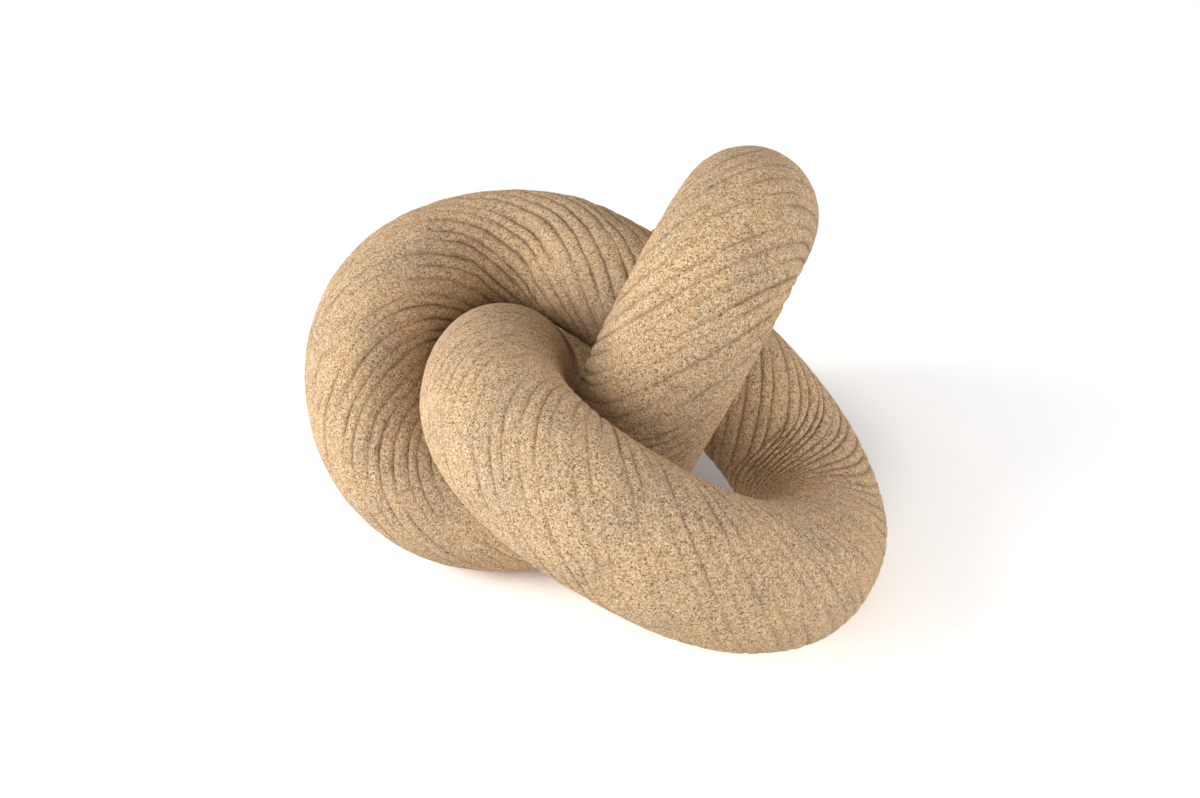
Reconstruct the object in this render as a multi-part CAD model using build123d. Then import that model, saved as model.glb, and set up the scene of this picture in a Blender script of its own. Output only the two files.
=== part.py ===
from build123d import *
import math
import os

# A closed knot with three lobes, cast in sandy stone as twelve short bends.
# Each bend lies in one plane, so that it leaves a plain two-part mould. The bends are butted end
# to end and pinned with steel dowels, and three felt pads are let into the lowest spots.
# Millimetres. +Z is up, +X is to the right and +Y away in the usual view. The origin is on the
# surface that the knot stands on, under the middle of its box.

# Strand
strand_diameter = 52.0
strand_gap = 0.6  # least gap between two passes of the strand
end_run = 1.6  # straight run at each end of a bend, so that the butt faces are square

# Dowels, a pair across each joint
dowel_diameter = 8.0
dowel_length = 30.0
dowel_spacing = 22.0
dowel_clearance = 0.1  # all round in its hole
dowel_end_room = 1.0  # left for adhesive beyond each end
dowel_chamfer = 0.8

# Felt pads
pad_diameter = 14.0
pad_thickness = 3.0
pad_proud = 1.0  # how far a pad stands out below the strand
pad_clearance = 0.15  # all round in its pocket
pad_chamfer = 0.4

# Corners of the guide polygon, one for each bend, in the order that the strand runs.
# They give the knot's form. Its size follows from the strand, because the passes lie close.
guide = {
    "front_strand": (-29, -91, 98),
    "right_lobe_front": (58, -114, 45),
    "right_lobe_rear": (97, -13, 17),
    "far_strand": (41, 8, 90),
    "left_lobe_rear": (-25, 83, 102),
    "left_lobe_crown": (-90, 36, 95),
    "left_lobe_front": (-80, -10, 31),
    "under_strand": (-1, -16, 24),
    "upright_lobe_front": (54, -70, 162),
    "upright_lobe_rear": (78, 119, 94),
    "rear_lobe": (-21, 104, 0),
    "inner_strand": (-33, 1, 86),
}

# The bends under which each pad can lie
feet = {
    "right_foot_pad": ("right_lobe_front", "right_lobe_rear"),
    "left_foot_pad": ("left_lobe_front", "under_strand"),
    "rear_foot_pad": ("upright_lobe_rear", "rear_lobe"),
}

names = list(guide)
strand_radius = strand_diameter / 2
path_steps = 60  # points taken along a bend to measure it
fitting_rounds = 4  # each round brings the spread or the level closer


def bend_paths(corners):
    """One path for each corner: from the middle of one side of the polygon to the next, round an
    arc as large as the shorter half side allows."""
    paths = []
    for k, corner in enumerate(corners):
        start = (corners[k - 1] + corner) / 2
        finish = (corner + corners[(k + 1) % len(corners)]) / 2
        turn = math.radians((corner - start).get_angle(finish - corner))
        reach = min((corner - start).length, (finish - corner).length) - end_run
        paths.append(FilletPolyline(start, corner, finish, radius=reach / math.tan(turn / 2)))
    return paths


def path_points(path):
    return [path @ (step / path_steps) for step in range(path_steps + 1)]


def least_distance(paths):
    """Least distance between the centre lines of bends that aren't neighbours."""
    points = [[tuple(p) for p in path_points(path)] for path in paths]
    last = len(paths) - 1
    pairs = [(i, j) for i in range(len(paths)) for j in range(i + 2, len(paths)) if (i, j) != (0, last)]
    return min(math.dist(p, q) for i, j in pairs for p in points[i] for q in points[j])


def lowest_points(paths):
    """The lowest point of the strand's centre line over each foot."""
    by_name = dict(zip(names, paths))
    return [min((p for bend in bends for p in path_points(by_name[bend])), key=lambda p: p.Z)
            for bends in feet.values()]


def spread(corners):
    """Open or close the guide until the nearest passes of the strand leave the stated gap."""
    for _ in range(fitting_rounds):
        factor = (strand_diameter + strand_gap) / least_distance(bend_paths(corners))
        corners = [corner * factor for corner in corners]
    return corners


def level(corners):
    """Turn the guide so that its three lowest points stand on one level surface."""
    for _ in range(fitting_rounds):
        right, left, rear = lowest_points(bend_paths(corners))
        upright = (rear - right).cross(left - right).normalized()
        tilt = Axis((0, 0, 0), upright.cross(Vector(0, 0, 1)))
        angle = upright.get_angle(Vector(0, 0, 1))
        corners = [corner.rotate(tilt, angle) for corner in corners]
    return corners


def centred(corners):
    """Move the guide over the origin, with the pads' undersides at zero height."""
    paths = bend_paths(corners)
    points = [p for path in paths for p in path_points(path)]
    middle_x = (min(p.X for p in points) + max(p.X for p in points)) / 2
    middle_y = (min(p.Y for p in points) + max(p.Y for p in points)) / 2
    foot_height = sum(p.Z for p in lowest_points(paths)) / len(feet)
    shift = Vector(middle_x, middle_y, foot_height - strand_radius - pad_proud)
    return [corner - shift for corner in corners]


def strand_bend(path):
    """The round strand swept along one bend, with its seam square to the bend's plane."""
    across = (path % 0).cross(path % 1)
    return sweep(Plane(path @ 0, x_dir=across, z_dir=path % 0) * Circle(strand_radius), path=path)


def dowel_places(path):
    """Where the two dowels stand across the joint at a bend's end, square to the butt face."""
    across = (path % 0).cross(path % 1)
    joint = Plane(path @ 1, x_dir=across, z_dir=path % 1)
    return [joint * Pos(X=side * dowel_spacing / 2) for side in (-1, 1)]


def dowel():
    pin = Cylinder(dowel_diameter / 2, dowel_length)
    return chamfer(pin.edges().filter_by(GeomType.CIRCLE), dowel_chamfer)


def dowel_hole():
    return Cylinder(dowel_diameter / 2 + dowel_clearance, dowel_length + 2 * dowel_end_room)


def pad():
    disc = Cylinder(pad_diameter / 2, pad_thickness, align=(Align.CENTER, Align.CENTER, Align.MIN))
    return chamfer(disc.edges().sort_by(Axis.Z)[0], pad_chamfer)


def pad_pocket():
    """Cuts a flat-roofed pocket as deep as the pad, open below."""
    depth = pad_thickness + pad_proud
    pocket = Cylinder(pad_diameter / 2 + pad_clearance, depth, align=(Align.CENTER, Align.CENTER, Align.MIN))
    return Pos(Z=-pad_proud) * pocket


corners = centred(level(spread([Vector(*corner) for corner in guide.values()])))
paths = bend_paths(corners)
bends = {name: strand_bend(path) for name, path in zip(names, paths)}

nodes = {}
for k, name in enumerate(names):
    places = dowel_places(paths[k])
    after = names[(k + 1) % len(names)]
    for place in places:
        bends[name] -= place * dowel_hole()
        bends[after] -= place * dowel_hole()
    nodes[f"{name}_dowels"] = Compound(children=[place * dowel() for place in places])

for foot, low in zip(feet, lowest_points(paths)):
    spot = Pos(low.X, low.Y, 0)
    for bend in feet[foot]:
        bends[bend] -= spot * pad_pocket()
    nodes[foot] = spot * pad()

nodes = bends | nodes
os.makedirs("parts", exist_ok=True)
for name, shape in nodes.items():
    export_step(shape, f"parts/{name}.step")

print("least distance between passes", round(least_distance(paths), 3))
print("strand length", round(sum(path.length for path in paths), 1))
print("feet", {foot: tuple(round(v, 2) for v in low) for foot, low in zip(feet, lowest_points(paths))})
for name, path in zip(names, paths):
    bend_radius = path.edges().filter_by(GeomType.CIRCLE)[0].radius
    plain_volume = path.length * math.pi * strand_radius ** 2
    print(name, "radius", round(bend_radius, 1), "volume", round(bends[name].volume), "uncut", round(plain_volume))
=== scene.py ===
"""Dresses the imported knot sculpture: twelve bends of sandy cast stone with slanting grooves, their
steel dowels and felt foot pads, on a plain pale stage."""

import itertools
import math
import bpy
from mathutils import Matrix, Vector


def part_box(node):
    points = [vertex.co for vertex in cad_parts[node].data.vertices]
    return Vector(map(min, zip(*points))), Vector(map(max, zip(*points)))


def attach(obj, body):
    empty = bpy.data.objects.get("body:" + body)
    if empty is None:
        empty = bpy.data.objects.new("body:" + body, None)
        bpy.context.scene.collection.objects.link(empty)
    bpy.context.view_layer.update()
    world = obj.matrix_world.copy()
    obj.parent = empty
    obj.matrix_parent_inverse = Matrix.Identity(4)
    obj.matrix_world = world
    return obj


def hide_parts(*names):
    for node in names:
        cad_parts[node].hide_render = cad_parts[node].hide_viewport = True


bl_info = {
    "name": "Sandy Stone Knot",
    "version": (1, 0, 0),
    "blender": (4, 5, 0),
    "location": "View3D > Sidebar > Knot",
    "description": "Models a three-lobed knot of grooved sandy stone around its packed solids",
    "category": "Add Mesh",
}

import bmesh
import bpy
import numpy as np
from bpy.props import FloatProperty, FloatVectorProperty, IntProperty, PointerProperty
from mathutils import Matrix, Vector

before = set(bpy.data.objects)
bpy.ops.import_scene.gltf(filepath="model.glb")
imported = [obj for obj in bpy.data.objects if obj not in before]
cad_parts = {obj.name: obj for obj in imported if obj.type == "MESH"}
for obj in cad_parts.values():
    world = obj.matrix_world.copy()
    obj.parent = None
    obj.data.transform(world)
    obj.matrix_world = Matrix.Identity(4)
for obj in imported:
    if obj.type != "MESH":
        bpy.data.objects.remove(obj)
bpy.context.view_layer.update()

# Corners of the guide polygon, one for each bend, in the order that the strand runs.
# They give the knot's form, as in the part's source. The strand's thickness gives its size.
GUIDE = {
    "front_strand": (-29, -91, 98),
    "right_lobe_front": (58, -114, 45),
    "right_lobe_rear": (97, -13, 17),
    "far_strand": (41, 8, 90),
    "left_lobe_rear": (-25, 83, 102),
    "left_lobe_crown": (-90, 36, 95),
    "left_lobe_front": (-80, -10, 31),
    "under_strand": (-1, -16, 24),
    "upright_lobe_front": (54, -70, 162),
    "upright_lobe_rear": (78, 119, 94),
    "rear_lobe": (-21, 104, 0),
    "inner_strand": (-33, 1, 86),
}
BENDS = list(GUIDE)

# The bends over each foot pad
FEET = {
    "right_foot_pad": ("right_lobe_front", "right_lobe_rear"),
    "left_foot_pad": ("left_lobe_front", "under_strand"),
    "rear_foot_pad": ("upright_lobe_rear", "rear_lobe"),
}

# How the grooves run on each bend: about how many are met in a metre of the strand, at the bend's
# start and at its middle, how deep they are cut, as a share of the full depth, and how far they go
# on round the outer side of the bend, from 0 to 1. The run is scaled so that the loop closes.
GROOVES = {
    "front_strand": (196, 204, 0.78, 0.56),
    "right_lobe_front": (182, 172, 0.72, 0.66),
    "right_lobe_rear": (165, 158, 0.72, 0.82),
    "far_strand": (178, 138, 0.95, 0.85),
    "left_lobe_rear": (88, 76, 0.95, 0.84),
    "left_lobe_crown": (105, 121, 0.88, 0.64),
    "left_lobe_front": (133, 147, 1.0, 0.45),
    "under_strand": (155, 163, 0.90, 0.60),
    "upright_lobe_front": (163, 159, 0.85, 0.90),
    "upright_lobe_rear": (150, 140, 0.95, 0.92),
    "rear_lobe": (145, 145, 0.90, 0.70),
    "inner_strand": (155, 170, 0.92, 0.66),
}

# How far the grooves lie off their plain slanting run, in radians round the strand, at a bend's
# start and at its middle. Of each pair, one is for the strand's first direction across and the
# other for the one square to it.
SWAYS = {
    "front_strand": ((0.05, 0.09), (0.14, 0.12)),
    "right_lobe_front": ((0.12, 0.08), (0.1, 0.02)),
    "right_lobe_rear": ((0.08, 0.0), (0.08, -0.02)),
    "far_strand": ((0.16, 0.0), (0.24, -0.18)),
    "left_lobe_rear": ((0.13, -0.34), (-0.06, -0.18)),
    "left_lobe_crown": ((-0.03, -0.12), (0.12, -0.18)),
    "left_lobe_front": ((0.15, -0.16), (0.2, -0.14)),
    "under_strand": ((0.13, -0.15), (0.08, -0.1)),
    "upright_lobe_front": ((0.06, -0.08), (0.04, -0.05)),
    "upright_lobe_rear": ((0.02, -0.02), (0.01, -0.01)),
    "rear_lobe": ((0.01, 0.0), (0.01, 0.01)),
    "inner_strand": ((0.02, 0.02), (0.03, 0.05)),
}

# Kinds of unevenness: how strong each is, the size of its spots in metres, and its seed
UNEVEN = {
    "bow": (0.06, 0.034, 3),  # of a groove's run, in shares of the pitch
    "kink": (0.04, 0.0065, 4),
    "fray": (0.05, 0.0019, 12),
    "patch": (0.24, 0.018, 5),  # of the depth, in patches over several grooves
    "dash": (0.62, 0.008, 6),  # of the depth, along each groove by itself
    "crack_shift": (0.3, 0.012, 7),  # of the cracks' places, in shares of their spacing
    "crack_patch": (2.4, 0.015, 8),  # of where there are cracks
    "swell": (1.0, 0.034, 9),  # of the surface, in shares of the lump height
    "lump": (0.4, 0.0085, 10),
    "pit": (0.4, 0.0036, 14),
    "grain": (1.0, 0.0011, 11),  # of the surface, in shares of the grain height
    "painted_shade": (0.45, 0.0014, 13),  # of the painted shade in the grooves
}

# Form of a groove across its run
COLUMN_CROWDING = 1.35  # how far the mesh columns crowd towards its bottom
ARCH_POWER = 2.2  # how soon its rounded sides level out
SLIT_WIDTH = 0.085  # half width of the slit at its bottom, as a share of the pitch
SLIT_DEPTH = 0.28  # the slit's share of the depth
SLIT_SHADE = 0.55  # the slit's share of the painted shade
INNER_DEPTH = 0.75  # how much more is cut on the inner side of a bend
LEAST_CUT = 0.06  # the least and the most that is cut, before the bend's own share
MOST_CUT = 1.25

# Cracks and the surface between the grooves
CRACK_WIDTH = 0.0006  # half width of a crack in metres
RIB_STAGGER = 0.618  # how far one rib's cracks are set off from the next rib's, in their spacing
SURFACE_RISE = 0.00012  # metres that make up for what the grooves take away

# Painted shade in crevices, first for points that all but touch another pass of the strand and then for
# points deep among several: the reach, the share for each pass, the power and the most
CREVICES = ((0.017, 0.62, 2.5, 1.0), (0.040, 0.5, 3.5, 0.45))
SAME_PASS = 0.075  # way along the strand within which it counts as the same pass

PATH_STEPS = 60  # points taken along a bend to measure it
TABLE_STEPS = 4000  # steps in which the whole loop is worked out
EVEN_REACH = 0.016  # way along the strand over which values are evened out
FITTING_ROUNDS = 4  # each round brings the spread or the level closer
RIM_SNAP = 0.0002  # points this near a pocket's wall are moved onto it
FINE_GRAIN = 1.5  # how many times smaller the fine grains are than the coarse ones
FULL_TURN = 2 * math.pi


class StrandSettings(bpy.types.PropertyGroup):
    """Sizes of the strand and of the grooves round it."""

    diameter: FloatProperty(
        name="Strand Diameter", description="Thickness of the round strand",
        default=0.052, unit="LENGTH")
    gap: FloatProperty(
        name="Least Gap", description="Least gap between two passes of the strand",
        default=0.0006, unit="LENGTH")
    end_run: FloatProperty(
        name="End Run", description="Straight run at each end of a bend",
        default=0.0016, unit="LENGTH")
    ring_step: FloatProperty(
        name="Ring Step", description="Distance between the rings of the mesh along the strand",
        default=0.00055, unit="LENGTH")
    groove_count: IntProperty(
        name="Grooves", description="Grooves that are met in going round the strand", default=21)
    groove_turns: IntProperty(
        name="Groove Turns", default=8,
        description="Turns that each groove makes round the strand in one loop of the knot")
    groove_samples: IntProperty(
        name="Samples", description="Mesh columns from one groove to the next", default=16)
    groove_depth: FloatProperty(
        name="Groove Depth", description="Depth of the deepest grooves",
        default=0.00095, unit="LENGTH")
    crack_depth: FloatProperty(
        name="Crack Depth", description="Depth of the short cracks across the ribs",
        default=0.00065, unit="LENGTH")
    crack_spacing: FloatProperty(
        name="Crack Spacing", description="Distance between the cracks along one rib",
        default=0.0095, unit="LENGTH")
    lump_height: FloatProperty(
        name="Lump Height", description="Height of the broad unevenness of the strand",
        default=0.0003, unit="LENGTH")
    grain_height: FloatProperty(
        name="Grain Height", description="Height of the coarsest sand grains",
        default=0.00005, unit="LENGTH")
    most_proud: FloatProperty(
        name="Most Proud", description="The most that the surface stands out of the plain round strand",
        default=0.00028, unit="LENGTH")


class StoneSettings(bpy.types.PropertyGroup):
    """Colours and grain of the sandy stone."""

    tan: FloatVectorProperty(
        name="Tan", description="Colour of most of the sand",
        default=(0.645, 0.438, 0.25), subtype="COLOR", min=0, max=1)
    cream: FloatVectorProperty(
        name="Cream", description="Colour of the palest grains",
        default=(0.84, 0.70, 0.50), subtype="COLOR", min=0, max=1)
    rust: FloatVectorProperty(
        name="Rust", description="Colour of the orange grains",
        default=(0.56, 0.295, 0.125), subtype="COLOR", min=0, max=1)
    grey: FloatVectorProperty(
        name="Grey", description="Colour of the grey brown grains",
        default=(0.25, 0.17, 0.105), subtype="COLOR", min=0, max=1)
    black: FloatVectorProperty(
        name="Black", description="Colour of the darkest grains",
        default=(0.075, 0.05, 0.034), subtype="COLOR", min=0, max=1)
    # Colour that the painted shade in the grooves and crevices darkens towards
    painted_shade_colour: FloatVectorProperty(
        name="Painted Shade Colour", description="Colour at the bottom of the grooves",
        default=(0.15, 0.095, 0.055), subtype="COLOR", min=0, max=1)
    grain_size: FloatProperty(
        name="Grain Size", description="Size of the coarse sand grains",
        default=0.00052, unit="LENGTH")
    relief: FloatProperty(
        name="Grain Relief", description="How far the grains stand out in the light",
        default=0.00025, unit="LENGTH")
    # How strongly the painted shade darkens the colour
    painted_shade_strength: FloatProperty(
        name="Painted Shade Strength", description="How much of the painted shade's colour shows where it is thickest",
        default=0.68, subtype="FACTOR", min=0, max=1)


class PadSettings(bpy.types.PropertyGroup):
    """Sizes and colour of the felt foot pads."""

    clearance: FloatProperty(
        name="Pocket Clearance", description="Room round a pad in its pocket",
        default=0.00015, unit="LENGTH")
    proud: FloatProperty(
        name="Pad Proud", description="How far a pad stands out below the strand",
        default=0.001, unit="LENGTH")
    rounding: FloatProperty(
        name="Pad Rounding", description="Rounding of a pad's lower edge",
        default=0.0004, unit="LENGTH")
    felt: FloatVectorProperty(
        name="Felt", description="Colour of the felt",
        default=(0.030, 0.025, 0.020), subtype="COLOR", min=0, max=1)


class DowelSettings(bpy.types.PropertyGroup):
    """Sizes of the dowel sockets and the colour of the dowels."""

    socket_radius: FloatProperty(
        name="Socket Radius", description="Radius of the holes for the dowels",
        default=0.0041, unit="LENGTH")
    socket_depth: FloatProperty(
        name="Socket Depth", description="Depth of the holes for the dowels",
        default=0.016, unit="LENGTH")
    spacing: FloatProperty(
        name="Dowel Spacing", description="Distance between the two dowels of a joint",
        default=0.022, unit="LENGTH")
    steel: FloatVectorProperty(
        name="Steel", description="Colour of the dowels",
        default=(0.34, 0.34, 0.35), subtype="COLOR", min=0, max=1)


class StageSettings(bpy.types.PropertyGroup):
    """Floor, light and camera."""

    floor: FloatVectorProperty(
        name="Floor", description="Colour of the floor",
        default=(0.86, 0.86, 0.86), subtype="COLOR", min=0, max=1)
    floor_lift: FloatProperty(
        name="Floor Lift", description="How many times brighter the floor is for the camera alone",
        default=1.95)
    # Within this shade the floor is not lifted for the camera: a painted shade under the knot
    shade_middle: FloatVectorProperty(
        name="Shade Middle", description="Middle of the floor's shade under the knot",
        default=(0.03, 0.06, 0.0), subtype="TRANSLATION", unit="LENGTH")
    shade_inner: FloatProperty(
        name="Shade Inner", default=0.05, unit="LENGTH",
        description="Distance from the shade's middle within which the floor isn't lifted")
    shade_outer: FloatProperty(
        name="Shade Outer", default=0.12, unit="LENGTH",
        description="Distance from the shade's middle at which the floor is fully lifted")
    shadow_fade: FloatProperty(
        name="Shadow Fade", default=0.1155, unit="LENGTH",
        description="Distance from the shade's middle at which the floor starts to go white")
    shadow_reach: FloatProperty(
        name="Shadow Reach", default=0.33, unit="LENGTH",
        description="Distance from the shade's middle at which the floor is plain white")
    sky_light: FloatProperty(
        name="Sky Light", description="Strength of the soft light from overhead", default=0.31)
    side_light: FloatProperty(
        name="Side Light", description="Strength of the soft light from the sides", default=1.06)
    rear_light: FloatProperty(
        name="Rear Light", description="Share of the soft light that is left straight behind the knot",
        default=0.55, subtype="FACTOR", min=0, max=1)
    key_power: FloatProperty(
        name="Key Light", description="Power of the large soft light at the front left",
        default=25.5, unit="POWER")
    key_place: FloatVectorProperty(
        name="Key Place", description="Where the light at the front left stands",
        default=(-1.45, -0.40, 0.64), subtype="TRANSLATION", unit="LENGTH")
    key_size: FloatProperty(
        name="Key Size", description="Width of the light at the front left", default=1.4, unit="LENGTH")
    fill_power: FloatProperty(
        name="Fill Light", description="Power of the large soft light at the front right",
        default=8.0, unit="POWER")
    fill_place: FloatVectorProperty(
        name="Fill Place", description="Where the light at the front right stands",
        default=(1.15, -0.80, 0.40), subtype="TRANSLATION", unit="LENGTH")
    fill_size: FloatProperty(
        name="Fill Size", description="Width of the light at the front right", default=1.2, unit="LENGTH")
    light_aim: FloatVectorProperty(
        name="Light Aim", description="Point that both lights are turned to",
        default=(0.0, 0.0, 0.06), subtype="TRANSLATION", unit="LENGTH")
    camera_place: FloatVectorProperty(
        name="Camera Place", description="Where the camera stands",
        default=(0.0154, -0.50941, 0.34119), subtype="TRANSLATION", unit="LENGTH")
    camera_elevation: FloatProperty(
        name="Camera Elevation", description="How far the camera looks down",
        default=math.radians(28.65), subtype="ANGLE")
    camera_azimuth: FloatProperty(
        name="Camera Azimuth", description="How far the camera is turned to its left",
        default=math.radians(1.09), subtype="ANGLE")
    camera_roll: FloatProperty(
        name="Camera Roll", description="How far the camera is rolled about its own axis",
        default=math.radians(-3.34), subtype="ANGLE")
    lens: FloatProperty(
        name="Lens", description="Focal length on a 36 mm sensor, which spans the picture's width",
        default=44.39, unit="CAMERA")


def unit(vector):
    return vector / np.linalg.norm(vector)


class BendLine:
    """Centre line of one bend: a straight run, an arc and another straight run, in one plane."""

    def __init__(self, before, corner, after, end_run):
        self.start = (before + corner) / 2
        side_in = corner - self.start
        side_out = (after - corner) / 2
        self.heading = unit(side_in)
        self.leaving = unit(side_out)
        self.turn = math.acos(self.heading @ self.leaving)
        length_in, length_out = np.linalg.norm(side_in), np.linalg.norm(side_out)
        reach = min(length_in, length_out) - end_run
        self.radius = reach / math.tan(self.turn / 2)
        self.run_in = length_in - reach
        self.run_out = length_out - reach
        self.length = self.run_in + self.radius * self.turn + self.run_out
        self.inward = unit(self.leaving - self.heading * math.cos(self.turn))
        self.axis = np.cross(self.heading, self.inward)

    def turned(self, along):
        """Angle that the line has turned through at each distance along it."""
        return np.clip((along - self.run_in) / self.radius, 0, self.turn)[:, None]

    def points(self, along):
        angle = self.turned(along)
        first = np.minimum(along, self.run_in)[:, None] * self.heading
        arc = self.radius * (np.sin(angle) * self.heading + (1 - np.cos(angle)) * self.inward)
        last = np.maximum(along - self.length + self.run_out, 0)[:, None] * self.leaving
        return self.start + first + arc + last

    def carried(self, vector, along):
        """A vector at the line's start, carried along it without any twist."""
        angle = self.turned(along)
        level = self.axis * (self.axis @ vector)
        across = vector - level
        return level + np.cos(angle) * across + np.sin(angle) * np.cross(self.axis, across)

    def curvature(self, along):
        """Curvature vectors, which point to the inner side of the bend."""
        angle = self.turned(along)
        on_arc = (angle > 0) & (angle < self.turn)
        return np.where(on_arc, self.carried(self.inward, along) / self.radius, 0)

    def measured(self):
        return self.points(np.linspace(0, self.length, PATH_STEPS + 1))


def bend_lines(corners, strand):
    after = np.roll(corners, -1, axis=0)
    before = np.roll(corners, 1, axis=0)
    return [BendLine(b, c, a, strand.end_run) for b, c, a in zip(before, corners, after)]


def least_distance(lines):
    """Least distance between the centre lines of bends that aren't neighbours."""
    points = [line.measured() for line in lines]
    last = len(lines) - 1
    pairs = [(i, j) for i in range(last) for j in range(i + 2, last + 1) if (i, j) != (0, last)]
    return min(np.linalg.norm(points[i][:, None] - points[j][None], axis=2).min() for i, j in pairs)


def lowest_points(lines):
    """The lowest point of the centre line over each foot."""
    lows = []
    for bends in FEET.values():
        points = np.vstack([lines[BENDS.index(bend)].measured() for bend in bends])
        lows.append(points[points[:, 2].argmin()])
    return lows


def knot_lines(strand, pads):
    """The bends' centre lines, spread, levelled and centred as in the part's source."""
    corners = np.array(list(GUIDE.values()), float) * 0.001
    for _ in range(FITTING_ROUNDS):
        corners = corners * (strand.diameter + strand.gap) / least_distance(bend_lines(corners, strand))
    for _ in range(FITTING_ROUNDS):
        right, left, rear = lowest_points(bend_lines(corners, strand))
        upright = Vector(np.cross(rear - right, left - right)).normalized()
        level = upright.rotation_difference(Vector((0, 0, 1))).to_matrix()
        corners = corners @ np.array(level).T
    lines = bend_lines(corners, strand)
    points = np.vstack([line.measured() for line in lines])
    middle = (points.min(axis=0) + points.max(axis=0)) / 2
    foot_height = np.mean([low[2] for low in lowest_points(lines)])
    middle[2] = foot_height - strand.diameter / 2 - pads.proud
    return bend_lines(corners - middle, strand)


def smooth_noise(points, size, seed):
    """Smooth unevenness from -1 to 1, with spots about as large as size, at each point."""
    place = points / size
    cell = np.floor(place).astype(np.int64)
    part = place - cell
    part = part * part * (3 - 2 * part)
    total = np.zeros(len(points))
    for corner in itertools.product((0, 1), repeat=3):
        x, y, z = (cell + corner).T
        mixed = (x * 73856093) ^ (y * 19349663) ^ (z * 83492791) ^ (seed * 2654435761)
        mixed = ((mixed ^ (mixed >> 13)) * 1274126177) & 0xFFFFFFFF
        value = ((mixed ^ (mixed >> 16)) & 0xFFFF) / 0x7FFF - 1
        weight = np.prod(np.where(corner, part, 1 - part), axis=1)
        total += weight * value
    return total


def uneven(kind, points):
    strength, size, seed = UNEVEN[kind]
    return strength * smooth_noise(points, size, seed)


class StrandField:
    """The whole strand: where each bend starts on it, how its section turns, and its grooves."""

    def __init__(self, lines, strand):
        self.lines = lines
        self.strand = strand
        self.radius = strand.diameter / 2
        lengths = [line.length for line in lines]
        self.starts = np.concatenate([[0], np.cumsum(lengths)[:-1]])
        self.length = sum(lengths)
        self.set_frames()
        self.set_grooves()
        self.set_curvature()

    def set_frames(self):
        """A direction across the strand at each bend's start, and the twist that closes the loop."""
        first = self.lines[0].heading
        up = np.array((0.0, 0.0, 1.0))
        self.across = [unit(up - first * (first @ up))]
        for line in self.lines:
            self.across.append(line.carried(self.across[-1], np.array([line.length]))[0])
        begun, ended = self.across[0], self.across[-1]
        self.closing = math.atan2(ended @ np.cross(first, begun), ended @ begun)

    def set_grooves(self):
        """How far the grooves have run round the strand at each place along it."""
        middles = self.starts + [line.length / 2 for line in self.lines]
        places = np.concatenate([self.starts, middles])
        order = places.argsort()
        paces = [GROOVES[bend][0] for bend in BENDS] + [GROOVES[bend][1] for bend in BENDS]
        paces = np.array(paces, float)
        self.table = np.linspace(0, self.length, TABLE_STEPS + 1)
        pace = np.interp(self.table, places[order], paces[order], period=self.length)
        run = np.concatenate([[0], np.cumsum((pace[1:] + pace[:-1]) / 2)])
        self.run = run * self.strand.groove_count * self.strand.groove_turns / run[-1]
        shares = [GROOVES[bend][2] for bend in BENDS]
        self.share = np.interp(self.table, middles, shares, period=self.length)
        reaches = [GROOVES[bend][3] for bend in BENDS]
        self.reach = np.interp(self.table, middles, reaches, period=self.length)
        sways = np.array([SWAYS[bend][0] for bend in BENDS] + [SWAYS[bend][1] for bend in BENDS])
        rows = []
        for axis in sways.T:
            rows.append(np.interp(self.table, places[order], axis[order], period=self.length))
        self.sway = self.evened(np.stack(rows, axis=1))

    def set_curvature(self):
        """The curvature along the strand, smoothed so that no bend's end shows."""
        curvature = np.zeros((len(self.table), 3))
        for start, line in zip(self.starts, self.lines):
            inside = (self.table >= start) & (self.table <= start + line.length)
            curvature[inside] = line.curvature(self.table[inside] - start)
        self.curve = self.evened(curvature)

    def evened(self, values):
        """Values along the loop, evened out over a short way."""
        reach = int(EVEN_REACH / self.length * len(self.table))
        weights = np.hanning(2 * reach + 1)
        weights /= weights.sum()
        wrapped = np.vstack([values[-reach - 1:-1], values, values[1:reach + 1]])
        return np.stack([np.convolve(axis, weights, "valid") for axis in wrapped.T], axis=1)

    def along_table(self, values, whole):
        return np.stack([np.interp(whole, self.table, axis) for axis in values.T], axis=1)


def rib_jitter(field):
    """Uneven spacing of the grooves round the strand, in shares of a groove's pitch."""
    count = field.strand.groove_count
    steps = np.arange(count + 1) % count
    return 0.13 * np.sin(steps * 2.4) + 0.07 * np.sin(steps * 5.3)


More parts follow.
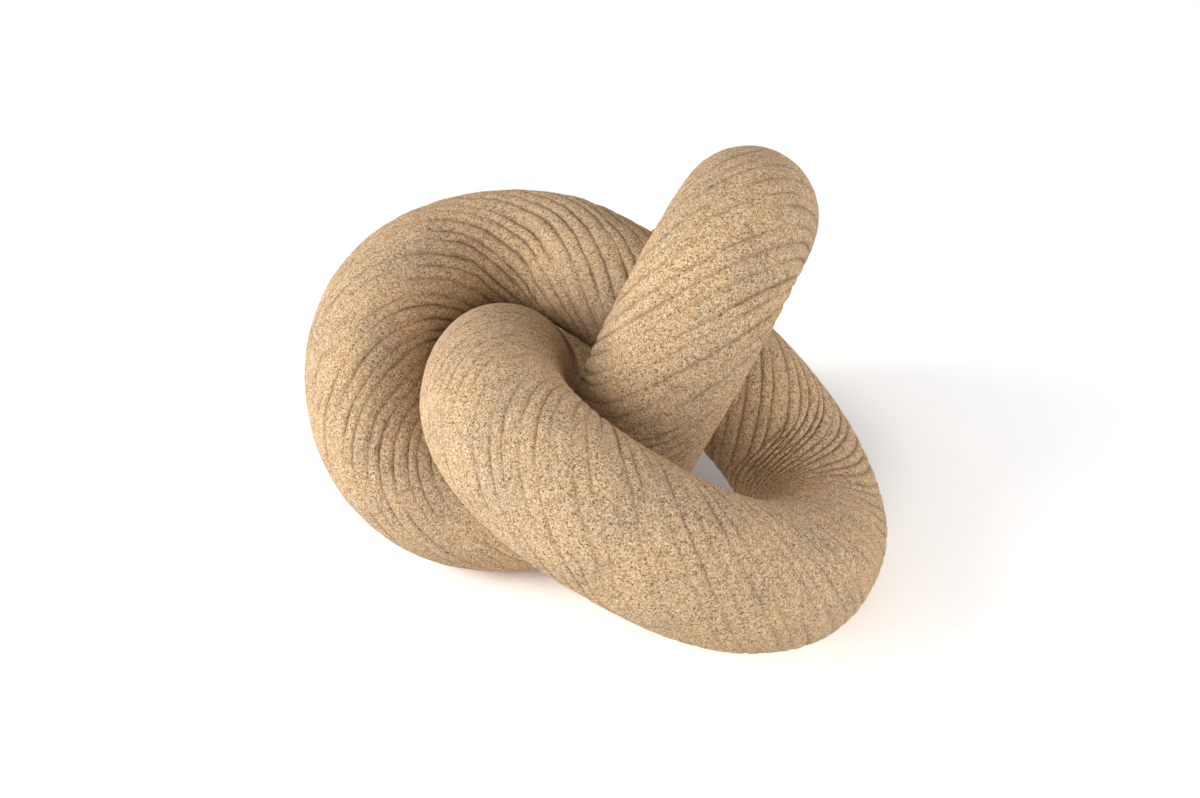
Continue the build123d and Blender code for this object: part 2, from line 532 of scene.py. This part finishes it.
def strand_surface(field, bend, ring, side, rings):
    """Places of one bend's surface points, and how much painted shade each gets for lying deep in a
    groove or crevice.

    Ring counts along the bend and side round it. The columns of points run along the grooves."""
    strand = field.strand
    line = field.lines[bend]
    count, samples = strand.groove_count, strand.groove_samples
    along = ring * line.length / rings
    whole = field.starts[bend] + along
    centre = line.points(along)
    normal = line.carried(field.across[bend], along)
    heading = line.carried(line.heading, along)
    binormal = np.cross(heading, normal)
    twist = -field.closing * whole / field.length

    def radial(angle):
        return np.cos(angle + twist)[:, None] * normal + np.sin(angle + twist)[:, None] * binormal

    # Columns of the mesh lie closer together near the bottom of a groove.
    nearest = np.round(side / samples)
    offset = side / samples - nearest
    offset = 0.5 * np.sign(offset) * np.abs(2 * offset) ** COLUMN_CROWDING
    jitter = np.interp(nearest + offset, np.arange(count + 1), rib_jitter(field))
    run = np.interp(whole, field.table, field.run)
    plain = FULL_TURN / count * (nearest + offset + jitter + run)
    sway = field.along_table(field.sway, whole)
    plain = plain + sway[:, 0] * np.cos(plain) + sway[:, 1] * np.sin(plain)
    guide = centre + field.radius * radial(plain)
    wander = uneven("bow", guide) + uneven("kink", guide) + uneven("fray", guide)
    outward = radial(plain + FULL_TURN / count * wander)
    point = centre + field.radius * outward

    # Grooves are deeper on the inner side of a bend, and each fades in and out along its way. For
    # that, each has a line of its own in the noise, far from the next groove's.
    tightness = field.radius * np.sum(field.along_table(field.curve, whole) * outward, axis=1)
    share = np.interp(whole, field.table, field.share)
    turn = FULL_TURN * whole / field.length
    hoop = field.length / FULL_TURN
    own = np.stack([(nearest % count) * 0.1, hoop * np.cos(turn), hoop * np.sin(turn)], axis=1)
    fade = uneven("patch", point) + uneven("dash", own)
    reach = np.interp(whole, field.table, field.reach)
    cut = share * np.clip(reach + INNER_DEPTH * tightness + fade, LEAST_CUT, MOST_CUT)
    arch = (1 - 2 * np.abs(offset)) ** ARCH_POWER
    slit = np.exp(-(offset / SLIT_WIDTH) ** 2)
    groove = strand.groove_depth * cut * ((1 - SLIT_DEPTH) * arch + SLIT_DEPTH * slit)

    # Short cracks cross the ribs where the grooves are deep.
    rib = np.floor(nearest + offset) % count
    step = whole / strand.crack_spacing + rib * RIB_STAGGER + uneven("crack_shift", point)
    from_crack = np.abs(step - np.round(step)) * strand.crack_spacing
    broken = np.clip(uneven("crack_patch", point), 0, 1) * np.clip(2.5 * cut - 1.5, 0, 1)
    split = broken * np.exp(-(from_crack / CRACK_WIDTH) ** 2)
    crack = strand.crack_depth * split

    lumps = strand.lump_height * (uneven("swell", point) + uneven("lump", point) + uneven("pit", point))
    grains = strand.grain_height * uneven("grain", point)
    rise = np.minimum(SURFACE_RISE + lumps + grains, strand.most_proud)
    height = rise - np.maximum(groove, crack)
    # Painted shade: the colour is darkened at the bottom of the grooves and cracks and in the crevices
    # between passes of the strand.
    groove_shade = cut * (SLIT_SHADE * slit + (1 - SLIT_SHADE) * arch)
    shade = np.clip((1 + uneven("painted_shade", point)) * np.maximum(groove_shade, split), 0, 1)
    painted_shade = 1 - (1 - shade) * (1 - crevices(field, whole, point))
    return point + height[:, None] * outward, painted_shade


def crevices(field, whole, points):
    """Painted shade for each point, by how deep it lies among other passes of the strand, from 0 to 1."""
    passes = np.stack([line.measured()[::2] for line in field.lines])
    shares = np.linspace(0, 1, passes.shape[1])
    spots = np.array([start + shares * line.length for start, line in zip(field.starts, field.lines)])
    shade = np.zeros(len(points))
    for place in np.unique(whole):
        way = np.abs(spots - place)
        same_pass = np.minimum(way, field.length - way) < SAME_PASS
        here = whole == place
        apart = np.linalg.norm(points[here, None, None] - passes[None], axis=3) - field.radius
        apart[:, same_pass] = field.length
        nearest = np.maximum(apart.min(axis=2), 0)
        for reach, share, power, most in CREVICES:
            close = np.exp(-(nearest / reach) ** 2)
            depth = most * (1 - np.prod(1 - share * close, axis=1)) ** power
            shade[here] = np.maximum(shade[here], depth)
    return shade


def pressed_pockets(points, pads):
    """Points under a foot pad are moved up to the flat roof of the pad's pocket."""
    for foot in FEET:
        low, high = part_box(foot)
        reach = (high.x - low.x) / 2 + pads.clearance
        away = points[:, :2] - np.array(((low.x + high.x) / 2, (low.y + high.y) / 2))
        distance = np.linalg.norm(away, axis=1)
        below = points[:, 2] < high.z
        rim = below & (np.abs(distance - reach) < RIM_SNAP)
        points[rim, :2] += away[rim] * (reach / distance[rim] - 1)[:, None]
        points[below & (distance < reach - RIM_SNAP), 2] = high.z
    return points


def close_end(mesh, rim, place, dowels):
    """Close one end of a bend with a butt face that has a socket for each of two dowels.

    Place stands in the middle of the end, with its Z axis into the bend."""
    mouths = []
    for side in (-0.5, 0.5):
        socket = place @ Matrix.Translation((side * dowels.spacing, 0, 0))
        made = bmesh.ops.create_circle(mesh, segments=40, radius=dowels.socket_radius, matrix=socket)
        mouths.append(list({edge for vert in made["verts"] for edge in vert.link_edges}))
    bmesh.ops.triangle_fill(mesh, use_beauty=True, edges=rim + mouths[0] + mouths[1])
    into = place.to_3x3() @ Vector((0, 0, dowels.socket_depth))
    for mouth in mouths:
        drawn = bmesh.ops.extrude_edge_only(mesh, edges=mouth)["geom"]
        floor_verts = [item for item in drawn if isinstance(item, bmesh.types.BMVert)]
        floor_edges = [item for item in drawn if isinstance(item, bmesh.types.BMEdge)]
        floor_edges = [edge for edge in floor_edges if all(vert in floor_verts for vert in edge.verts)]
        bmesh.ops.translate(mesh, vec=into, verts=floor_verts)
        bmesh.ops.edgeloop_fill(mesh, edges=floor_edges)
        for edge in mouth + floor_edges:
            edge.smooth = False
    for edge in rim:
        edge.smooth = False


def dowel_place(field, joint):
    """Frame of the joint after one bend: X from dowel to dowel and Z along the strand."""
    line = field.lines[joint]
    middle = line.points(np.array([line.length]))[0]
    along = line.leaving
    across = line.axis
    frame_axes = Matrix((across, np.cross(along, across), along)).transposed().to_4x4()
    frame_axes.translation = Vector(middle)
    return frame_axes


def new_piece(name, mesh, material, node):
    """A finished piece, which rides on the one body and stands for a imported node."""
    data = bpy.data.meshes.new(name)
    mesh.to_mesh(data)
    mesh.free()
    data.materials.append(material)
    piece = bpy.data.objects.new(name, data)
    bpy.context.scene.collection.objects.link(piece)
    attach(piece, "root")
    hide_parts(node)


def bend_piece(field, bend, material, settings):
    """One bend as a closed grooved tube, from a flat grid that is rolled round the centre line."""
    strand = settings.strand
    rings = round(field.lines[bend].length / strand.ring_step)
    sides = strand.groove_count * strand.groove_samples
    mesh = bmesh.new()
    bmesh.ops.create_grid(mesh, x_segments=rings, y_segments=sides, size=0.5)
    flat = bpy.data.meshes.new("flat_grid")
    mesh.to_mesh(flat)
    places = np.empty(len(flat.vertices) * 3, np.float32)
    flat.vertices.foreach_get("co", places)
    places = places.reshape(-1, 3).astype(float) + 0.5
    ring = np.round(places[:, 0] * rings)
    side = np.round(places[:, 1] * sides) % sides
    points, shade = strand_surface(field, bend, ring, side, rings)
    points = pressed_pockets(points, settings.pads)
    flat.vertices.foreach_set("co", points.astype(np.float32).ravel())
    # The groove attribute carries the painted shade of the grooves, cracks and crevices.
    flat.attributes.new("groove", "FLOAT", "POINT").data.foreach_set("value", shade.astype(np.float32))
    flat.polygons.foreach_set("use_smooth", np.ones(len(flat.polygons), bool))
    mesh.clear()
    mesh.from_mesh(flat)
    bpy.data.meshes.remove(flat)

    seam = [vert for vert in mesh.verts if vert.is_boundary]
    bmesh.ops.remove_doubles(mesh, verts=seam, dist=1e-7)
    rim = [edge for edge in mesh.edges if edge.is_boundary]
    turned_back = Matrix.Rotation(math.pi, 4, "X")
    for place in (dowel_place(field, bend - 1), dowel_place(field, bend) @ turned_back):
        middle = place.translation
        near = [edge for edge in rim if (edge.verts[0].co - middle).length < strand.diameter * 0.6]
        close_end(mesh, near, place, settings.dowels)
    bmesh.ops.recalc_face_normals(mesh, faces=mesh.faces)
    new_piece(BENDS[bend] + "_stone", mesh, material, BENDS[bend])


class NodeBoard:
    """Adds nodes to one material or world, with sockets or plain values for their inputs."""

    def __init__(self, owner):
        owner.use_nodes = True
        self.tree = owner.node_tree
        self.tree.nodes.clear()

    def add(self, kind, inputs=None, **options):
        node = self.tree.nodes.new(kind)
        for option, value in options.items():
            setattr(node, option, value)
        for name, value in (inputs or {}).items():
            if isinstance(value, bpy.types.NodeSocket):
                self.tree.links.new(value, node.inputs[name])
            else:
                node.inputs[name].default_value = value
        return node

    def mix(self, share, first, second, blend="MIX"):
        """Mix of two colours."""
        node = self.add("ShaderNodeMix", data_type="RGBA", blend_type=blend)
        for index, value in ((0, share), (6, first), (7, second)):
            if isinstance(value, bpy.types.NodeSocket):
                self.tree.links.new(value, node.inputs[index])
            else:
                node.inputs[index].default_value = value
        return node.outputs[2]

    def ramp(self, share, stops):
        """Colours along a run from 0 to 1."""
        node = self.add("ShaderNodeValToRGB", {"Fac": share})
        elements = node.color_ramp.elements
        while len(elements) < len(stops):
            elements.new(1.0)
        for element, (position, colour) in zip(elements, stops):
            element.position = position
            element.color = colour
        return node.outputs["Color"]

    def math(self, operation, first, second):
        node = self.add("ShaderNodeMath", {0: first, 1: second}, operation=operation)
        return node.outputs[0]


def opaque(colour, shade=1.0):
    return (colour[0] * shade, colour[1] * shade, colour[2] * shade, 1.0)


def sandy_stone(stone):
    """Coarse sand bound into stone: grains of several colours, broad tints, and painted shade in the
    grooves and crevices.
    """
    material = bpy.data.materials.new("sandy_stone")
    board = NodeBoard(material)
    where = board.add("ShaderNodeTexCoord").outputs["Object"]
    scale = 1 / stone.grain_size

    coarse = board.add("ShaderNodeTexVoronoi", {"Vector": where, "Scale": scale})
    fine = board.add("ShaderNodeTexVoronoi", {"Vector": where, "Scale": scale * FINE_GRAIN})
    coarse_split = board.add("ShaderNodeSeparateColor", {"Color": coarse.outputs["Color"]})
    coarse_pick = coarse_split.outputs["Red"]
    fine_split = board.add("ShaderNodeSeparateColor", {"Color": fine.outputs["Color"]})
    fine_pick = fine_split.outputs["Green"]
    fine_colour = board.ramp(fine_pick, (
        (0.00, opaque(stone.black)),
        (0.15, opaque(stone.grey)),
        (0.26, opaque(stone.tan, 0.68)),
        (0.45, opaque(stone.tan, 0.94)),
        (0.72, opaque(stone.tan, 1.18)),
        (0.94, opaque(stone.cream)),
    ))
    coarse_colour = board.ramp(coarse_pick, (
        (0.00, opaque(stone.black)),
        (0.06, opaque(stone.grey)),
        (0.13, opaque(stone.rust)),
        (0.24, opaque(stone.rust, 1.1)),
        (0.32, opaque(stone.tan)),
        (0.80, opaque(stone.tan, 1.15)),
        (0.92, opaque(stone.cream)),
    ))
    # Only the darkest, the rustiest and the palest of the coarse grains stand out from the sand.
    stands_out = board.ramp(coarse_pick, (
        (0.05, (0.8, 0.8, 0.8, 1)),
        (0.22, (0.55, 0.55, 0.55, 1)),
        (0.34, (0.2, 0.2, 0.2, 1)),
        (0.82, (0.2, 0.2, 0.2, 1)),
        (0.95, (0.7, 0.7, 0.7, 1)),
    ))
    sand = board.mix(stands_out, fine_colour, coarse_colour)

    broad = board.add("ShaderNodeTexNoise", {"Vector": where, "Scale": 46.0, "Detail": 3.0})
    warm = board.ramp(broad.outputs["Fac"], (
        (0.34, (0.90, 0.91, 0.93, 1)),
        (0.66, (1.08, 1.04, 0.98, 1)),
    ))
    tinted = board.mix(1.0, sand, warm, "MULTIPLY")
    # Painted shade: the colour is darkened towards a dark brown where the groove attribute is high.
    groove = board.add("ShaderNodeAttribute", attribute_name="groove").outputs["Fac"]
    shade_mix = board.math("MULTIPLY", groove, stone.painted_shade_strength)
    colour = board.mix(shade_mix, tinted, opaque(stone.painted_shade_colour))

    rough = board.add("ShaderNodeMapRange", {
        "Value": fine_pick, "From Min": 0.0, "From Max": 1.0, "To Min": 0.86, "To Max": 0.97})
    fine_stands = board.math("MULTIPLY", fine.outputs["Distance"], 0.5)
    stands = board.math("ADD", coarse.outputs["Distance"], fine_stands)
    bump = board.add("ShaderNodeBump", {
        "Height": stands, "Strength": 0.6, "Distance": stone.relief}, invert=True)
    shader = board.add("ShaderNodeBsdfPrincipled", {
        "Base Color": colour, "Roughness": rough.outputs["Result"], "Normal": bump.outputs["Normal"],
        "Specular IOR Level": 0.25})
    board.add("ShaderNodeOutputMaterial", {"Surface": shader.outputs["BSDF"]})
    return material


def pressed_felt(pads):
    """Dense dark felt with short matted fibres."""
    material = bpy.data.materials.new("pressed_felt")
    board = NodeBoard(material)
    where = board.add("ShaderNodeTexCoord").outputs["Object"]
    fibres = board.add("ShaderNodeTexNoise", {
        "Vector": where, "Scale": 2600.0, "Detail": 4.0, "Roughness": 0.7, "Distortion": 1.6})
    colour = board.ramp(fibres.outputs["Fac"], (
        (0.30, opaque(pads.felt, 0.5)), (0.55, opaque(pads.felt)), (0.75, opaque(pads.felt, 2.2))))
    bump = board.add("ShaderNodeBump", {
        "Height": fibres.outputs["Fac"], "Strength": 0.7, "Distance": 0.0002})
    rough = board.add("ShaderNodeMapRange", {
        "Value": fibres.outputs["Fac"], "To Min": 0.88, "To Max": 1.0})
    shader = board.add("ShaderNodeBsdfPrincipled", {
        "Base Color": colour, "Roughness": rough.outputs["Result"], "Normal": bump.outputs["Normal"],
        "Sheen Weight": 0.3, "Specular IOR Level": 0.2})
    board.add("ShaderNodeOutputMaterial", {"Surface": shader.outputs["BSDF"]})
    return material


def dowel_steel(dowels):
    """Bright drawn bar with fine scratches and a little uneven tarnish."""
    material = bpy.data.materials.new("dowel_steel")
    board = NodeBoard(material)
    where = board.add("ShaderNodeTexCoord").outputs["Object"]
    scratches = board.add("ShaderNodeTexNoise", {"Vector": where, "Scale": 3200.0, "Detail": 2.0})
    tarnish = board.add("ShaderNodeTexNoise", {"Vector": where, "Scale": 260.0, "Detail": 4.0})
    colour = board.ramp(tarnish.outputs["Fac"], (
        (0.35, opaque(dowels.steel, 0.8)), (0.65, opaque(dowels.steel, 1.15))))
    rough = board.add("ShaderNodeMapRange", {
        "Value": scratches.outputs["Fac"], "From Min": 0.3, "From Max": 0.7,
        "To Min": 0.22, "To Max": 0.42})
    bump = board.add("ShaderNodeBump", {
        "Height": scratches.outputs["Fac"], "Strength": 0.25, "Distance": 0.00002})
    shader = board.add("ShaderNodeBsdfPrincipled", {
        "Base Color": colour, "Metallic": 1.0, "Roughness": rough.outputs["Result"],
        "Normal": bump.outputs["Normal"]})
    board.add("ShaderNodeOutputMaterial", {"Surface": shader.outputs["BSDF"]})
    return material


def pad_piece(foot, pads, material):
    """A pressed felt disc with a rounded lower edge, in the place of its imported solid."""
    low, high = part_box(foot)
    mesh = bmesh.new()
    middle = Matrix.Translation(((low.x + high.x) / 2, (low.y + high.y) / 2, low.z))
    bmesh.ops.create_circle(mesh, cap_ends=True, segments=72, radius=(high.x - low.x) / 2, matrix=middle)
    # Rings of faces keep the smooth shading of the flat disc even.
    for width in (0.0012, 0.0016, 0.0018):
        middle_faces = [face for face in mesh.faces if len(face.verts) > 4]
        bmesh.ops.inset_region(mesh, faces=middle_faces, thickness=width)
    drawn = bmesh.ops.extrude_face_region(mesh, geom=list(mesh.faces))["geom"]
    top = [item for item in drawn if isinstance(item, bmesh.types.BMVert)]
    bmesh.ops.translate(mesh, vec=(0, 0, high.z - low.z), verts=top)
    bmesh.ops.recalc_face_normals(mesh, faces=mesh.faces)
    corner_edges = [edge for edge in mesh.edges if edge.calc_face_angle(0) > 1.0]
    bmesh.ops.bevel(
        mesh, geom=corner_edges, offset=pads.rounding, offset_type="OFFSET", affect="EDGES",
        segments=3, profile=0.5, material=-1)
    for face in mesh.faces:
        face.smooth = True
    new_piece(foot + "_felt", mesh, material, foot)


class KNOT_OT_strand(bpy.types.Operator):
    """Model the twelve grooved bends of the strand"""

    bl_idname = "knot.strand"
    bl_label = "Stone Strand"

    def execute(self, context):
        settings = context.scene.knot
        lines = knot_lines(settings.strand, settings.pads)
        field = StrandField(lines, settings.strand)
        material = sandy_stone(settings.stone)
        for bend in range(len(BENDS)):
            bend_piece(field, bend, material, settings)
        return {"FINISHED"}


class KNOT_OT_pads(bpy.types.Operator):
    """Model the three felt pads under the knot"""

    bl_idname = "knot.pads"
    bl_label = "Foot Pads"

    def execute(self, context):
        pads = context.scene.knot.pads
        material = pressed_felt(pads)
        for foot in FEET:
            pad_piece(foot, pads, material)
        return {"FINISHED"}


class KNOT_OT_dowels(bpy.types.Operator):
    """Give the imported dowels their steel"""

    bl_idname = "knot.dowels"
    bl_label = "Dowels"

    def execute(self, context):
        material = dowel_steel(context.scene.knot.dowels)
        for bend in BENDS:
            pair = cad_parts[bend + "_dowels"]
            for slot in pair.material_slots:
                slot.material = material
        return {"FINISHED"}


def seen_directly(board):
    """1 for what the camera sees, straight or in a reflection or through glass, and 0 for light."""
    path = board.add("ShaderNodeLightPath").outputs
    seen = board.math("ADD", path["Is Camera Ray"], path["Is Glossy Ray"])
    every = board.add("ShaderNodeMath", {
        0: seen, 1: path["Is Transmission Ray"]}, operation="ADD", use_clamp=True)
    return every.outputs[0]


def pale_floor(stage):
    """A plain pale floor. For the camera it is brighter, except within a painted shade round a spot under
    the knot, and goes over into white further out."""
    material = bpy.data.materials.new("pale_floor")
    board = NodeBoard(material)
    seen = seen_directly(board)
    where = board.add("ShaderNodeTexCoord").outputs["Object"]
    measure = board.add("ShaderNodeVectorMath", {0: where, 1: stage.shade_middle}, operation="DISTANCE")
    distance = measure.outputs["Value"]
    away = board.add("ShaderNodeMapRange", {
        "Value": distance, "From Min": stage.shadow_fade, "From Max": stage.shadow_reach},
        interpolation_type="SMOOTHSTEP")
    # Painted shade: near the shade's middle under the knot the floor is not lifted for the camera, so it
    # stays darker there.
    outside = board.add("ShaderNodeMapRange", {
        "Value": distance, "From Min": stage.shade_inner, "From Max": stage.shade_outer},
        interpolation_type="SMOOTHSTEP")
    lifted = board.math("MULTIPLY", seen, outside.outputs["Result"])
    colour = board.mix(lifted, opaque(stage.floor), opaque(stage.floor, stage.floor_lift))
    plain = board.add("ShaderNodeBsdfDiffuse", {"Color": colour})
    white = board.add("ShaderNodeEmission", {"Color": (1, 1, 1, 1), "Strength": 1.0})
    both = board.add("ShaderNodeMixShader", {
        0: board.math("MULTIPLY", seen, away.outputs["Result"]), 1: plain.outputs["BSDF"],
        2: white.outputs["Emission"]})
    board.add("ShaderNodeOutputMaterial", {"Surface": both.outputs["Shader"]})
    return material


def white_room(stage):
    """Soft light, most of it from the sides and the front, and plain white where the camera sees past
    the floor."""
    world = bpy.data.worlds.new("white_room")
    board = NodeBoard(world)
    direction = board.add("ShaderNodeTexCoord").outputs["Generated"]
    split = board.add("ShaderNodeSeparateXYZ", {"Vector": direction})
    level = board.add("ShaderNodeMapRange", {
        "Value": split.outputs["Z"], "To Min": stage.side_light, "To Max": stage.sky_light})
    share = board.add("ShaderNodeMapRange", {
        "Value": split.outputs["Y"], "To Min": 1.0, "To Max": stage.rear_light})
    strength = board.math("MULTIPLY", level.outputs["Result"], share.outputs["Result"])
    light = board.add("ShaderNodeBackground", {"Color": (1, 1, 1, 1), "Strength": strength})
    white = board.add("ShaderNodeBackground", {"Color": (1, 1, 1, 1), "Strength": 1.0})
    both = board.add("ShaderNodeMixShader", {
        0: seen_directly(board), 1: light.outputs["Background"], 2: white.outputs["Background"]})
    board.add("ShaderNodeOutputWorld", {"Surface": both.outputs["Shader"]})
    return world


def soft_light(name, place, aim, size, power):
    """A square area light at a place, turned to a point."""
    lamp = bpy.data.lights.new(name, "AREA")
    lamp.shape = "SQUARE"
    lamp.size = size
    lamp.energy = power
    holder = bpy.data.objects.new(name, lamp)
    holder.location = place
    holder.rotation_euler = (Vector(aim) - Vector(place)).to_track_quat("-Z", "Y").to_euler()
    bpy.context.scene.collection.objects.link(holder)


class KNOT_OT_stage(bpy.types.Operator):
    """Set up the pale floor, the soft light and the camera"""

    bl_idname = "knot.stage"
    bl_label = "Stage"

    def execute(self, context):
        scene = context.scene
        stage = scene.knot.stage
        mesh = bmesh.new()
        bmesh.ops.create_grid(mesh, x_segments=1, y_segments=1, size=3.0)
        data = bpy.data.meshes.new("floor")
        mesh.to_mesh(data)
        mesh.free()
        data.materials.append(pale_floor(stage))
        floor = bpy.data.objects.new("floor", data)
        scene.collection.objects.link(floor)

        scene.world = white_room(stage)
        aim = stage.light_aim
        soft_light("key_light", stage.key_place, aim, stage.key_size, stage.key_power)
        soft_light("fill_light", stage.fill_place, aim, stage.fill_size, stage.fill_power)
        scene.view_settings.view_transform = "Standard"

        lens = bpy.data.cameras.new("camera")
        lens.sensor_fit = "HORIZONTAL"
        lens.sensor_width = 36.0
        lens.lens = stage.lens
        camera = bpy.data.objects.new("camera", lens)
        turn = Matrix.Rotation(stage.camera_azimuth, 4, "Z")
        tip = Matrix.Rotation(math.pi / 2 - stage.camera_elevation, 4, "X")
        roll = Matrix.Rotation(stage.camera_roll, 4, "Z")
        camera.matrix_world = Matrix.Translation(stage.camera_place) @ turn @ tip @ roll
        scene.collection.objects.link(camera)
        scene.camera = camera
        return {"FINISHED"}


class KnotSettings(bpy.types.PropertyGroup):
    """All settings of the knot."""

    strand: PointerProperty(name="Strand", description="Sizes of the strand", type=StrandSettings)
    stone: PointerProperty(name="Stone", description="Finish of the stone", type=StoneSettings)
    pads: PointerProperty(name="Pads", description="Foot pads", type=PadSettings)
    dowels: PointerProperty(name="Dowels", description="Dowels and their sockets", type=DowelSettings)
    stage: PointerProperty(name="Stage", description="Floor, light and camera", type=StageSettings)


class VIEW3D_PT_knot(bpy.types.Panel):
    """Settings and steps of the knot"""

    bl_label = "Sandy Stone Knot"
    bl_space_type = "VIEW_3D"
    bl_region_type = "UI"
    bl_category = "Knot"

    def draw(self, context):
        steps = {
            "strand": ("strand", "stone"),
            "pads": ("pads",),
            "dowels": ("dowels",),
            "stage": ("stage",),
        }
        for step, groups in steps.items():
            box = self.layout.box()
            for group in groups:
                settings = getattr(context.scene.knot, group)
                for name in settings.__annotations__:
                    box.prop(settings, name)
            box.operator("knot." + step)


CLASSES = (
    StrandSettings,
    StoneSettings,
    PadSettings,
    DowelSettings,
    StageSettings,
    KnotSettings,
    KNOT_OT_strand,
    KNOT_OT_pads,
    KNOT_OT_dowels,
    KNOT_OT_stage,
    VIEW3D_PT_knot,
)


def register():
    for item in CLASSES:
        bpy.utils.register_class(item)
    bpy.types.Scene.knot = PointerProperty(type=KnotSettings)


def unregister():
    del bpy.types.Scene.knot
    for item in reversed(CLASSES):
        bpy.utils.unregister_class(item)


def main():
    register()
    bpy.ops.knot.strand()
    bpy.ops.knot.pads()
    bpy.ops.knot.dowels()
    bpy.ops.knot.stage()


if __name__ == "__main__":
    main()
